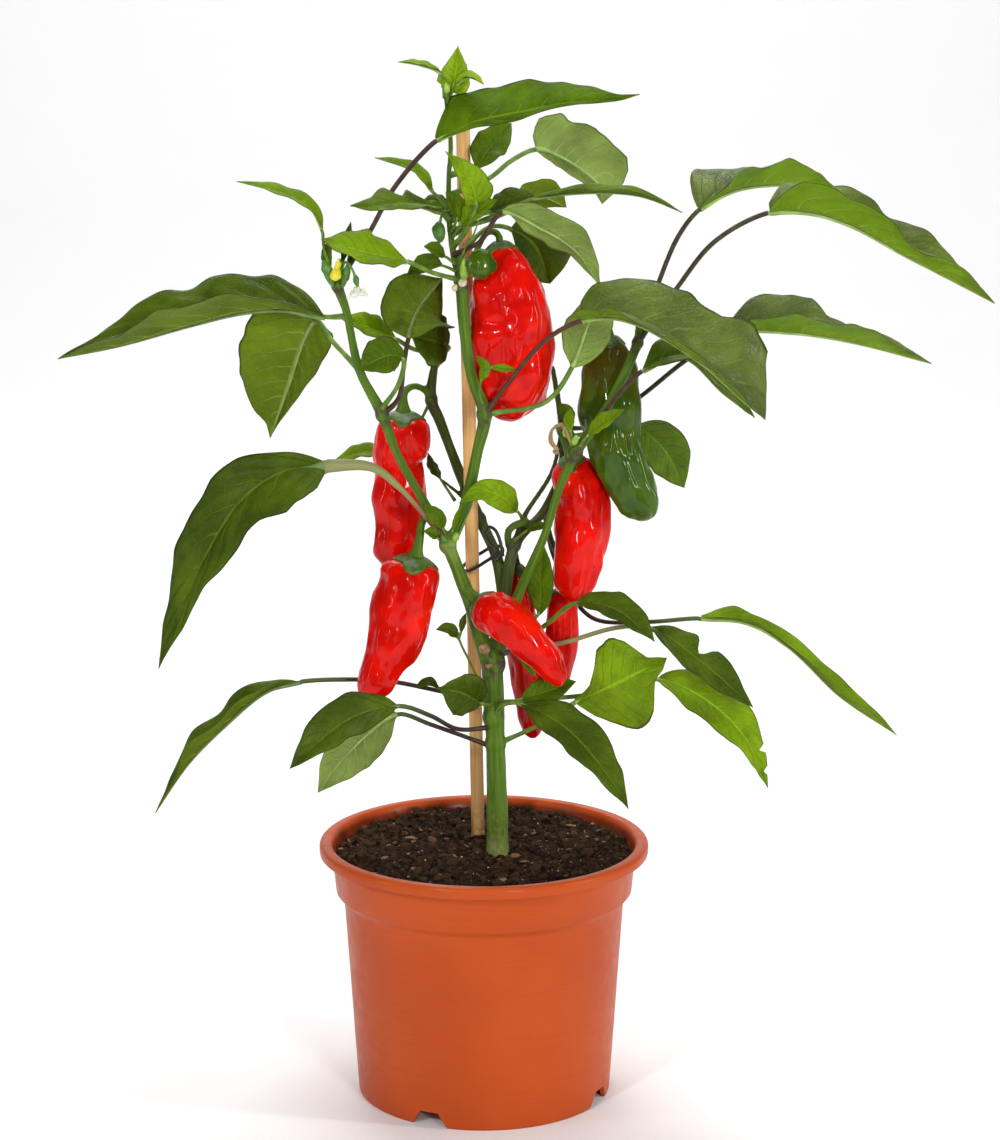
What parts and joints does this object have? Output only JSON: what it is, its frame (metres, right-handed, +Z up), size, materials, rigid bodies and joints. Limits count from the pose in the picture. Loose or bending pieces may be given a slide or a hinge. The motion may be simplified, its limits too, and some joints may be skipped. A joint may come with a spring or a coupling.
{
  "type": "potted sweet pepper plant",
  "caption": "Young sweet pepper plant in a round nursery pot, tied to a wooden stake, with red and green fruits on forked stems.",
  "frame": {"origin": "centre of the pot's underside, on the surface that the pot stands on", "axes": "+Z up along the pot's axis, -Y towards the front of the plant, +X towards its right as seen from the front"},
  "size_m": [0.4687, 0.1819, 0.5392],
  "materials": {
    "pot_plastic": "satin terracotta-orange moulded plastic",
    "potting_soil": "matt crumbly peat with pale specks",
    "stake_wood": "bare smooth softwood",
    "tie_wire": "matt black coated wire",
    "green_stem": "satin living stem, darker at the joints",
    "leaf": "semi-gloss leaf, paler underneath",
    "red_fruit": "very glossy ripe skin",
    "green_fruit": "very glossy unripe skin"
  },
  "bodies": {
    "root": {"pot": "pot_plastic", "soil": "potting_soil", "stake": "stake_wood", "wire_tie": "tie_wire", "stem": "green_stem", "pepper_top": "red_fruit", "pepper_left": "red_fruit", "pepper_lower_left": "red_fruit", "pepper_front": "red_fruit", "pepper_right": "red_fruit", "pepper_green": "green_fruit", "pepper_rear_right": "red_fruit", "pepper_rear": "red_fruit", "pepper_young": "green_fruit", "leaf_crown_upright": "leaf", "leaf_crown_left": "leaf", "leaf_top_long": "leaf", "leaf_young_left": "leaf", "leaf_young_front": "leaf", "leaf_small_upper_back": "leaf", "leaf_upper_right_curled": "leaf", "leaf_upper_right_slim": "leaf", "leaf_pale_round": "leaf", "leaf_small_dark": "leaf", "leaf_over_pepper": "leaf", "leaf_upper_left_lobed": "leaf", "leaf_young_far_left": "leaf", "leaf_young_left_low": "leaf", "leaf_left_arching": "leaf", "leaf_left_hanging": "leaf", "leaf_left_inner_bright": "leaf", "leaf_left_inner_upright": "leaf", "leaf_left_inner_small": "leaf", "leaf_left_inner_dark": "leaf", "leaf_left_broad": "leaf", "leaf_left_back_small": "leaf", "leaf_low_left_slim": "leaf", "leaf_low_left_dark": "leaf", "leaf_low_left_pale": "leaf", "leaf_stake_dark": "leaf", "leaf_centre_bright": "leaf", "leaf_right_pale_veined": "leaf", "leaf_right_broad": "leaf", "leaf_right_under": "leaf", "leaf_far_right_upper": "leaf", "leaf_far_right_long": "leaf", "leaf_right_arching": "leaf", "leaf_right_back_pale": "leaf", "leaf_low_right_dark": "leaf", "leaf_low_right_bright": "leaf", "leaf_low_right_notched": "leaf", "leaf_low_right_slim": "leaf", "leaf_low_right_torn": "leaf", "leaf_low_front_dark": "leaf", "leaf_low_front_small": "leaf", "leaf_behind_arm": "leaf", "leaf_behind_pepper": "leaf"}
  },
  "joints": []
}
